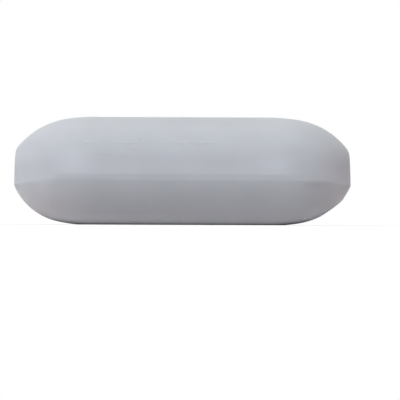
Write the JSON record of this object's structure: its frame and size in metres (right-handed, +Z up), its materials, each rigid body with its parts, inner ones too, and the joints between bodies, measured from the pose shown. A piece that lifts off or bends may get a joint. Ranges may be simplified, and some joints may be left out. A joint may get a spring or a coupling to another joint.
{
  "type": "magnetic stir bar",
  "caption": "Straight stir bar with domed ends and flat-trimmed tips: a bar magnet sealed inside a white moulded PTFE casing with a parting line along its sides.",
  "frame": {"origin": "on the surface that the bar lies on, under the middle of the bar", "axes": "+X along the bar, +Z up, and -Y towards the side that the picture shows"},
  "size_m": [0.0222, 0.0074, 0.0071],
  "materials": {
    "casing": "white moulded PTFE, slightly translucent, satin and waxy",
    "magnet": "dull grey cast magnet alloy with ground sides"
  },
  "bodies": {
    "root": {"ptfe_casing": "casing", "bar_magnet": "magnet"}
  },
  "joints": []
}
